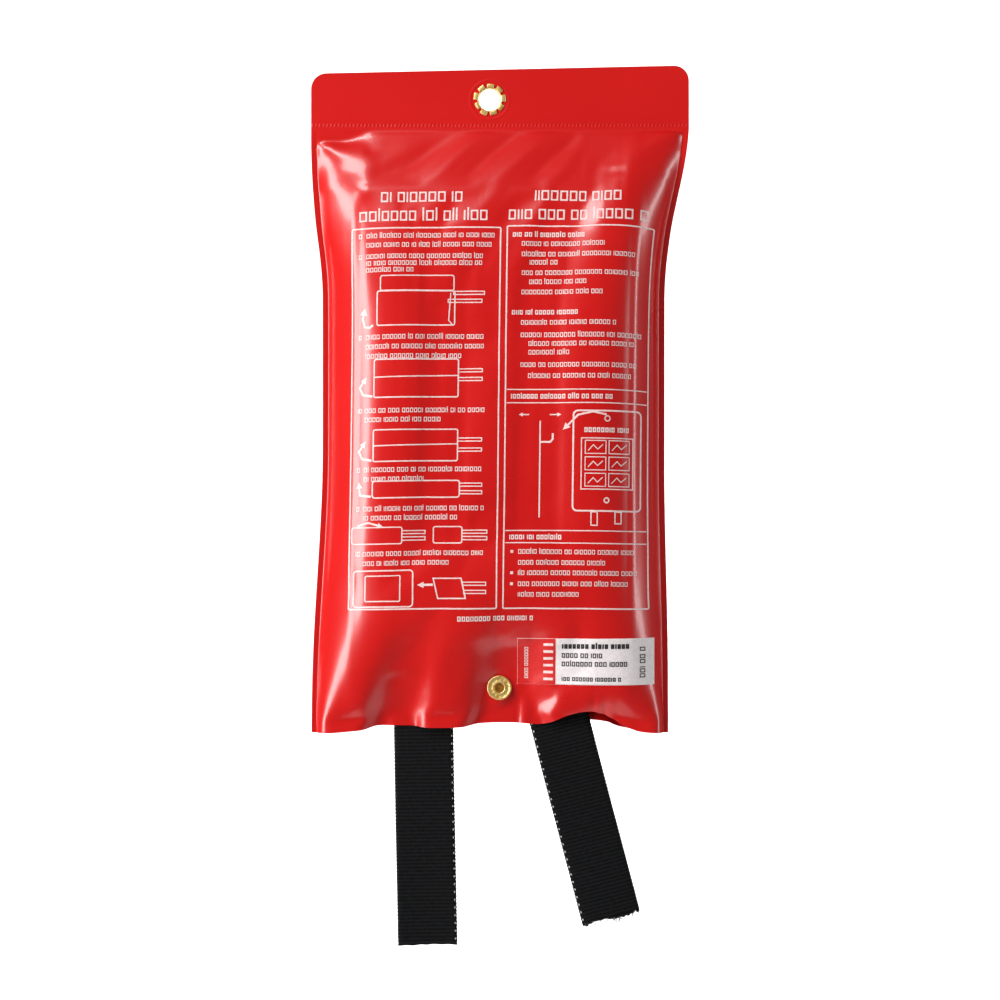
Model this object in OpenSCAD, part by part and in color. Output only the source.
// Fire blanket in a soft PVC wall pouch, hung from a brass eyelet.
// Origin: centre of the eyelet hole, midway between the two PVC panels.
// +X to the right and +Z up when looking at the instruction side, which faces -Y.

/* [Pouch] */
// Width of the welded header band
header_w = 160; // [130:1:200]
// Sideways place of the header's middle, from the eyelet
header_cx = 4.4; // [-10:0.1:10]
// Height of the header's left top corner above the eyelet
header_top = 11.3; // [10:0.1:20]
// Rise of the header's top edge from left to right
header_rise = 3.5; // [0:0.1:8]
// Radius of the header's top corners
header_r = 6.5; // [2:0.5:12]
// Depth of the header's weld line below the eyelet
weld_z = 13; // [11:0.5:30]
// Depth of the mouth's edge below the eyelet
mouth_z = 266; // [262:1:320]
// Thickness of the PVC sheet
pvc_t = 0.5; // [0.3:0.05:0.8]
// Width of the side welds
weld_w = 3; // [2:0.5:4]
// Room between the folded blanket and the PVC
pack_play = 0.6; // [0.4:0.1:1.5]

/* [Mouth] */
// Height of the two lips, from the line they bend about to the mouth's edge
lip_h = 40; // [36:1:60]
// Half the gap between the lips, held open by the snap and the tabs
mouth_gap = 1.7; // [1.5:0.1:3]
// Cut clearance round each lip
lip_gap = 0.3; // [0.2:0.05:0.6]
// How far the rear lip rides up over the right tab
rear_raise = 6.5; // [0:0.5:10]
// How far the front lip rides up over the right tab
front_raise = 4; // [0:0.5:10]

/* [Folded blanket] */
// Width of the folded blanket
pack_w = 126; // [110:1:132]
// Height of the folded blanket
pack_h = 200; // [180:1:203]
// Thickness of the folded blanket
pack_t = 26; // [18:1:28]
// Depth of the folded blanket's top below the eyelet
pack_top = 32; // [30:1:40]
// Sideways place of the folded blanket's middle
pack_cx = 1.6; // [0:0.1:3]

/* [Pull tabs] */
// Width of the webbing
tab_w = 25; // [20:1:30]
// Thickness of the webbing
tab_t = 1.2; // [1:0.1:1.6]
// Sideways place of the left tab where it bends
left_x = -27.9; // [-40:0.1:-20]
// How far below the mouth's edge the left tab bends
left_bend_drop = 3; // [2:0.5:20]
// Length of the left tab below its bend
left_len = 89; // [60:1:120]
// Outward lean of the left tab
left_lean = 0.9; // [0:0.1:5]
// Sideways place of the right tab where it bends
right_x = 31.6; // [25:0.1:45]
// How far below the mouth's edge the right tab bends
right_bend_drop = 4.5; // [2:0.5:20]
// Length of the right tab below its bend
right_len = 79; // [60:1:120]
// Outward lean of the right tab
right_lean = 14.4; // [0:0.1:20]
// Length of webbing sewn between the blanket's middle layers
sewn_in = 38; // [25:1:60]

/* [Eyelet] */
// Bore of the hanging eyelet
eyelet_d = 9.2; // [8:0.1:12]
// Wall of the eyelet's barrel
eyelet_wall = 0.35; // [0.3:0.05:0.5]
// Diameter of the eyelet's rolled head
eyelet_head_d = 15.5; // [13:0.5:18]
// Diameter over the turned petals
petal_d = 14; // [12.5:0.5:16]
// Number of petals
petals = 9; // [6:1:12]

/* [Snap] */
// Sideways place of the snap
snap_x = 4.1; // [-10:0.1:10]
// Height of the snap above the mouth's edge
snap_up = 17.3; // [16:0.1:24]
// Diameter of the post's flange
post_d = 10.5; // [9:0.5:12]
// Bore of the post
post_bore = 3.9; // [3:0.1:4.5]
// Diameter of the cap
cap_d = 12.5; // [11:0.5:15]

/* [Label] */
// Left edge of the label
label_x = 11.7; // [10:0.1:20]
// Width of the label
label_w = 57.6; // [30:0.1:58]
// How far below the lips' bend the label starts
label_drop = 1.3; // [0.5:0.1:9]
// Height of the label
label_h = 19.7; // [10:0.1:25]

/* [Hidden] */
$fn = 64;

red = "#DC1F1B";
brass = "#D2A955";
black = "#151617";
cloth = "#F1EEE6";

// --- depths that hang from the mouth's edge, so that a deeper pouch keeps its mouth
lip_z = mouth_z - lip_h;
snap_z = mouth_z - snap_up;
label_top = lip_z + label_drop;
left_bend_z = mouth_z + left_bend_drop;
right_bend_z = mouth_z + right_bend_drop;

eps = 0.01;
REAR = -1;
FRONT = 1;

// A step from 0 at a to 1 at b, with level ends
function ease(a, b, v) = let (t = min(1, max(0, (v - a) / (b - a)))) t * t * (3 - 2 * t);
// A quarter sine from 0 at a to 1 at b: a crease at a, a level end at b
function crease(a, b, v) = sin(90 * min(1, max(0, (v - a) / (b - a))));
function mix(a, b, t) = a + (b - a) * t;

// --- the pouch's outline: sides drawn in by the bulge, so narrowest beside the blanket
waist_draw = 7.7;              // how far each side is drawn in
mouth_spread = 3;              // how far the sides come back out at the mouth
waist_cx = pack_cx + 0.1;
header_end = -weld_z + 3;      // where the sides start to draw in
waist_top = -weld_z - 72;      // and where they are fully in
spread_top = -mouth_z + 116;
function middle_x(z) = mix(header_cx, waist_cx, ease(header_end, -weld_z - 45, z)) - 1.6 * ease(-140, -mouth_z, z);
function half_w(z) =
    header_w / 2 - waist_draw * ease(header_end, waist_top, z) + mouth_spread * ease(spread_top, -mouth_z + 16, z);

// --- how far each panel stands off the middle plane
bulge = pack_t / 2 + pack_play;
side_rise = 13.5;              // width over which the bulge rises from the side weld
top_rise = 30;                 // height over which it rises below the header weld
lip_rise = 22;                 // height over which it falls from the lips' bend to the snap
snap_flat = 12;                // radius kept level round the snap
snap_blend = 12;
function near_snap(x, z) = 1 - ease(snap_flat, snap_flat + snap_blend, norm([x - snap_x, z + snap_z]));
function edge_distance(x, z) = half_w(z) - abs(x - middle_x(z));
function stand_off(x, z) =
    let (
        d = edge_distance(x, z),
        down = crease(-weld_z, -weld_z - top_rise, z) * crease(-lip_z - lip_rise, -lip_z, z),
        gap = mouth_gap * ease(weld_w - 0.5, weld_w + 6, d) * ease(-lip_z, -lip_z - lip_rise, z),
        free = max(gap, bulge * crease(weld_w, weld_w + side_rise, d) * down)
    )
    mix(free, mouth_gap, near_snap(x, z));

// --- the lower edges, ridden up over the right tab
raise_x = right_x + 9;
raise_half = 20;
function ridge(x) = let (t = (x - raise_x) / raise_half) abs(t) < 1 ? pow(cos(90 * t), 2) : 0;
function raised(side) = side == REAR ? rear_raise : front_raise;
function edge_z(x, side) = -mouth_z + raised(side) * ridge(x);

// --- the grid that a sheet is drawn on. A column is [share, inset]: it stands at
// middle + share * (half width - inset), so the side columns keep their distance from the edge
rise_cells = 6;
side_steps = concat([0], [for (k = [0:rise_cells]) weld_w + side_rise * k / rise_cells]);
mid_cells = 22;
inset = side_steps[len(side_steps) - 1];
function side_columns(steps, hand) = [for (d = steps) [hand, d]];
function across(steps) = concat(
    side_columns(steps, -1),
    [for (k = [1:mid_cells - 1]) [2 * k / mid_cells - 1, inset]],
    [for (k = [len(steps) - 1:-1:0]) [1, steps[k]]]
);
panel_columns = across(side_steps);
lip_columns = across([for (k = [1:len(side_steps) - 1]) side_steps[k] + (k == 1 ? lip_gap : 0)]);
wall_rows = concat(
    [for (k = [1:6]) -weld_z - top_rise * k / 6],
    [for (k = [1:6]) mix(-weld_z - top_rise, -lip_z, k / 6)]
);
below_rows = [for (k = [1:11]) mix(-lip_z, -mouth_z, k / 11)];
panel_rows = concat([0, -weld_z], wall_rows, below_rows);
lip_rows = concat([-lip_z - lip_gap], below_rows);
first_below = len(panel_rows) - len(below_rows) - 1;

// The header's top edge: a slope with round corners
function header_edge(x) =
    let (
        in = min(header_r, max(0, header_w / 2 - abs(x - header_cx))),
        slope = header_rise * ((x - header_cx) / header_w + 0.5)
    )
    header_top + slope - header_r + sqrt(header_r ^ 2 - (header_r - in) ^ 2);

// A row's real height: header rows stretch to the top edge, and rows below the bend are
// squeezed where the lower edge is raised
function row_z(z, x, side) =
    z > -weld_z ? mix(-weld_z, header_edge(x), z / weld_z + 1)
    : z > -lip_z ? z
    : mix(-lip_z, edge_z(x, side), (z + lip_z) / (lip_z - mouth_z));

// A point of the sheet, lift off the sheet's inner face along its normal
function sheet_point(x, z, side, lift) =
    let (
        e = 0.4,
        h = stand_off(x, z),
        gx = (stand_off(x + e, z) - stand_off(x - e, z)) / (2 * e),
        gz = (stand_off(x, z + e) - stand_off(x, z - e)) / (2 * e),
        flat = edge_distance(x, z) < weld_w + eps || z > -weld_z - eps,
        n = flat ? [0, 1, 0] : [-gx, 1, -gz] / norm([gx, 1, gz])
    )
    [x + lift * n[0], side * (h + lift * n[1]), z + lift * n[2]];

// The sheet between two lifts, as one closed solid: both faces of every kept cell, and a
// rim wherever a kept cell has no kept neighbour
module sheet(side, lift_a, lift_b, zs, columns, keep = function(r, i) true) {
    nc = len(columns);
    nr = len(zs);
    size = nr * nc;
    function face(lift) = [
        for (z = zs) for (c = columns)
            let (x = middle_x(z) + c[0] * (half_w(z) - c[1]))
            sheet_point(x, row_z(z, x, side), side, lift)
    ];
    function kept(r, i) = r >= 0 && i >= 0 && r < nr - 1 && i < nc - 1 && keep(r, i);
    function quad(a, b, c, d) = side == REAR ? [[a, b, c], [a, c, d]] : [[a, c, b], [a, d, c]];
    function rim(a, b) = quad(a, size + a, size + b, b);
    faces = [
        for (r = [0:nr - 2]) for (i = [0:nc - 2])
            let (a = r * nc + i, b = a + 1, c = b + nc, d = a + nc)
            if (kept(r, i)) each concat(
                quad(a, b, c, d),
                quad(size + a, size + d, size + c, size + b),
                kept(r - 1, i) ? [] : rim(a, b),
                kept(r, i + 1) ? [] : rim(b, c),
                kept(r + 1, i) ? [] : rim(c, d),
                kept(r, i - 1) ? [] : rim(d, a)
            )
    ];
    polyhedron(points = concat(face(lift_a), face(lift_b)), faces = faces);
}

module along_y(from, length) { translate([0, from + length, 0]) rotate([90, 0, 0]) children(); }
// Turned shapes are drawn with their axis up, then laid along Y, pointing to the front
module to_front() { rotate([-90, 0, 0]) children(); }
module at_snap() { translate([snap_x, 0, -snap_z]) to_front() children(); }

barrel_r = eyelet_d / 2 + eyelet_wall;
barrel_fit = 0.05;
module eyelet_hole() { along_y(-5, 10) cylinder(r = barrel_r + barrel_fit, h = 10); }

// A panel is one sheet from the header to the mouth, less the lip between its side welds
module panel(side) {
    color(red) difference() {
        sheet(side, 0, pvc_t, panel_rows, panel_columns,
            function(r, i) r < first_below || i == 0 || i == len(panel_columns) - 2);
        eyelet_hole();
    }
}
module rear_panel() { panel(REAR); }
module front_panel() { panel(FRONT); }

tube_r = 2.35;                  // the post's tube and the cap's shank
tube_fit = 0.05;
module lip(side) {
    color(red) difference() {
        sheet(side, 0, pvc_t, lip_rows, lip_columns);
        at_snap() translate([0, 0, -20]) cylinder(r = tube_r + tube_fit, h = 40);
    }
}
module rear_lip() { lip(REAR); }
module front_lip() { lip(FRONT); }

// Eyelet: a rolled head on the front side, a barrel through both sheets, petals turned on the rear side
module hanging_eyelet() {
    head_t = 0.9;
    petal_t = 0.6;
    slit = 0.7;
    slit_in = 1;
    color(brass) difference() {
        to_front() rotate_extrude() {
            translate([eyelet_d / 2, -pvc_t]) square([eyelet_wall, 2 * pvc_t]);
            translate([eyelet_d / 2, pvc_t]) square([eyelet_head_d / 2 - eyelet_d / 2 - head_t / 2, head_t]);
            translate([eyelet_head_d / 2 - head_t / 2, pvc_t + head_t / 2]) circle(d = head_t);
            translate([eyelet_d / 2, -pvc_t - petal_t]) square([petal_d / 2 - eyelet_d / 2, petal_t]);
        }
        for (k = [0:petals - 1]) rotate([0, 360 * (k + 0.4) / petals, 0])
            translate([-slit / 2, -pvc_t - petal_t - eps, barrel_r + slit_in]) cube([slit, petal_t + eps, petal_d]);
    }
}

// The snap, stacked from rear to front: post, rear lip, stud, socket with its ring, front lip, cap
panel_face = mouth_gap + pvc_t;
stud_base_t = 0.5;
stud_base_r = 5;
stud_neck_r = 3;
stud_head_r = 3.3;
stud_top = 0.9;                 // how far the stud's head reaches past the middle plane
socket_r = 6;
socket_floor = -mouth_gap + stud_base_t + 0.2;
socket_bore_r = 3.6;
ring_r = 3.55;                  // the spring's middle line
ring_wire = 0.7;

module snap_post() {
    flange_t = 0.9;
    flare_r = 2.7;
    color(brass) at_snap() rotate_extrude() {
        translate([post_bore / 2, -panel_face - flange_t])
            square([post_d / 2 - post_bore / 2 - flange_t / 2, flange_t]);
        translate([post_d / 2 - flange_t / 2, -panel_face - flange_t / 2]) circle(d = flange_t);
        translate([post_bore / 2, -panel_face - eps]) square([tube_r - post_bore / 2, panel_face + stud_top + 0.35]);
        translate([post_bore / 2, stud_top]) square([flare_r - post_bore / 2, 0.35]);
    }
}

module snap_stud() {
    color(brass) at_snap() rotate_extrude() {
        difference() {
            union() {
                translate([0, -mouth_gap]) square([stud_base_r, stud_base_t]);
                translate([0, -mouth_gap]) square([stud_neck_r, mouth_gap + stud_top]);
                translate([0, stud_top - 0.8]) square([stud_head_r, 0.8]);
            }
            translate([-eps, -mouth_gap - eps]) square([tube_r + tube_fit + eps, mouth_gap + stud_top + 1]);
        }
    }
}

module snap_socket() {
    groove = ring_wire + 0.3;
    color(brass) at_snap() rotate_extrude() difference() {
        translate([tube_r + tube_fit, socket_floor]) square([socket_r - tube_r - tube_fit, mouth_gap - socket_floor]);
        translate([0, socket_floor - eps]) square([socket_bore_r, stud_top + 0.5 - socket_floor]);
        translate([0, -0.55 - groove / 2]) square([ring_r + groove, groove]);
    }
}

module snap_ring_spring() {
    color("#B9BCC0") at_snap() translate([0, 0, -0.55]) rotate([0, 0, 20])
        rotate_extrude(angle = 320) translate([ring_r + 0.1, 0]) circle(d = ring_wire, $fn = 24);
}

module snap_cap() {
    cap_t = 1.5;
    skirt = 0.5;
    color(brass) at_snap() rotate_extrude() {
        translate([0, panel_face]) square([cap_d / 2, skirt]);
        intersection() {
            translate([0, panel_face + skirt]) square([cap_d / 2, cap_t]);
            translate([0, panel_face + skirt + cap_t - 14]) circle(r = 14);
        }
        translate([0, stud_top + 0.5]) square([tube_r, panel_face - stud_top - 0.5 + eps]);
    }
}

label_t = 0.15;
module paper_label() {
    color("#E6DCDA") intersection() {
        sheet(REAR, pvc_t, pvc_t + label_t, lip_rows, lip_columns);
        translate([label_x, -40, -label_top - label_h]) cube([label_w, 40, label_h]);
    }
}

// --- the webbing's route: straight down through the mouth, leaning outward
stitch_t = 0.4;
knuckle_gap = 0.2;
module tab_frame(x, bend_z, lean) { translate([x, 0, -bend_z]) rotate([0, -lean, 0]) children(); }
module left_frame() { tab_frame(left_x, left_bend_z, left_lean) children(); }
module right_frame() { tab_frame(right_x, right_bend_z, right_lean) children(); }

pack_bottom = pack_top + pack_h;
function sewn_length(bend_z) = bend_z - pack_bottom + sewn_in;

module sewn_end(bend_z) {
    start = tab_t / 2 + knuckle_gap;
    color(black) translate([-tab_w / 2, -tab_t / 2, start]) cube([tab_w, tab_t, sewn_length(bend_z) - start]);
}
// The pull end bends about a round knuckle as thick as the webbing
module pull_end(length) {
    color(black) {
        translate([-tab_w / 2, 0, 0]) rotate([0, 90, 0]) cylinder(d = tab_t, h = tab_w);
        translate([-tab_w / 2, -tab_t / 2, -length]) cube([tab_w, tab_t, length]);
    }
}
// A square of stitching with its diagonals, lying on the webbing's front face
box_side = 18;
thread = 0.7;
module box_stitch(bend_z) {
    diagonal = box_side * sqrt(2) - thread;
    color("#DAD7CE") translate([0, tab_t / 2, sewn_length(bend_z) - box_side / 2 - 3.5]) rotate([90, 0, 180])
        linear_extrude(stitch_t) {
            difference() {
                square(box_side, center = true);
                square(box_side - 2 * thread, center = true);
            }
            for (a = [45, -45]) rotate(a) square([diagonal, thread], center = true);
        }
}
module left_tab_sewn_end() { left_frame() sewn_end(left_bend_z); }
module right_tab_sewn_end() { right_frame() sewn_end(right_bend_z); }
module left_tab_stitching() { left_frame() box_stitch(left_bend_z); }
module right_tab_stitching() { right_frame() box_stitch(right_bend_z); }
module left_tab() { left_frame() pull_end(left_len); }
module right_tab() { right_frame() pull_end(right_len); }

// Room between the blanket's middle layers for one sewn end and its stitching
module sewn_pocket(bend_z) {
    side_play = 0.2;
    translate([-tab_w / 2 - side_play, -tab_t / 2, 0])
        cube([tab_w + 2 * side_play, tab_t + stitch_t + 0.05, sewn_length(bend_z)]);
}

// Folded blanket: flat faces, rounded folds, fully round at the bottom fold
top_fold_r = 10;
side_fold_r = 9;
module fire_blanket() {
    h = pack_t / 2;
    color(cloth) difference() {
        intersection() {
            translate([pack_cx - pack_w / 2, 0, 0]) rotate([90, 0, 90]) linear_extrude(pack_w) {
                translate([-h, -pack_bottom + h]) square([pack_t, pack_h - h - top_fold_r]);
                translate([0, -pack_bottom + h]) circle(h);
                for (s = [-1, 1]) translate([s * (h - top_fold_r), -pack_top - top_fold_r]) circle(top_fold_r);
                translate([-h + top_fold_r, -pack_top - top_fold_r - eps]) square([pack_t - 2 * top_fold_r, top_fold_r + eps]);
            }
            translate([0, 0, -pack_bottom]) linear_extrude(pack_h) {
                translate([pack_cx - pack_w / 2 + side_fold_r, -h]) square([pack_w - 2 * side_fold_r, pack_t]);
                translate([pack_cx - pack_w / 2, -h + side_fold_r]) square([pack_w, pack_t - 2 * side_fold_r]);
                for (s = [-1, 1]) for (u = [-1, 1])
                    translate([pack_cx + s * (pack_w / 2 - side_fold_r), u * (h - side_fold_r)]) circle(side_fold_r);
            }
        }
        left_frame() sewn_pocket(left_bend_z);
        right_frame() sewn_pocket(right_bend_z);
    }
}

// A row of raised stitches along the hem, on the pack's front face
module hem_stitching() {
    stitch_l = 4;
    pitch = 7;
    margin = 20;
    height = 0.25;
    count = floor((pack_h - 2 * margin) / pitch);
    color("#D9D5C8") for (k = [0:count - 1])
        translate([pack_cx - pack_w / 2 + margin, pack_t / 2, -pack_top - margin - k * pitch - stitch_l])
            cube([thread, height, stitch_l]);
}

rear_panel();
front_panel();
hanging_eyelet();
rear_lip();
snap_post();
snap_stud();
paper_label();
front_lip();
snap_cap();
snap_socket();
snap_ring_spring();
fire_blanket();
hem_stitching();
left_tab_sewn_end();
right_tab_sewn_end();
left_tab_stitching();
right_tab_stitching();
left_tab();
right_tab();
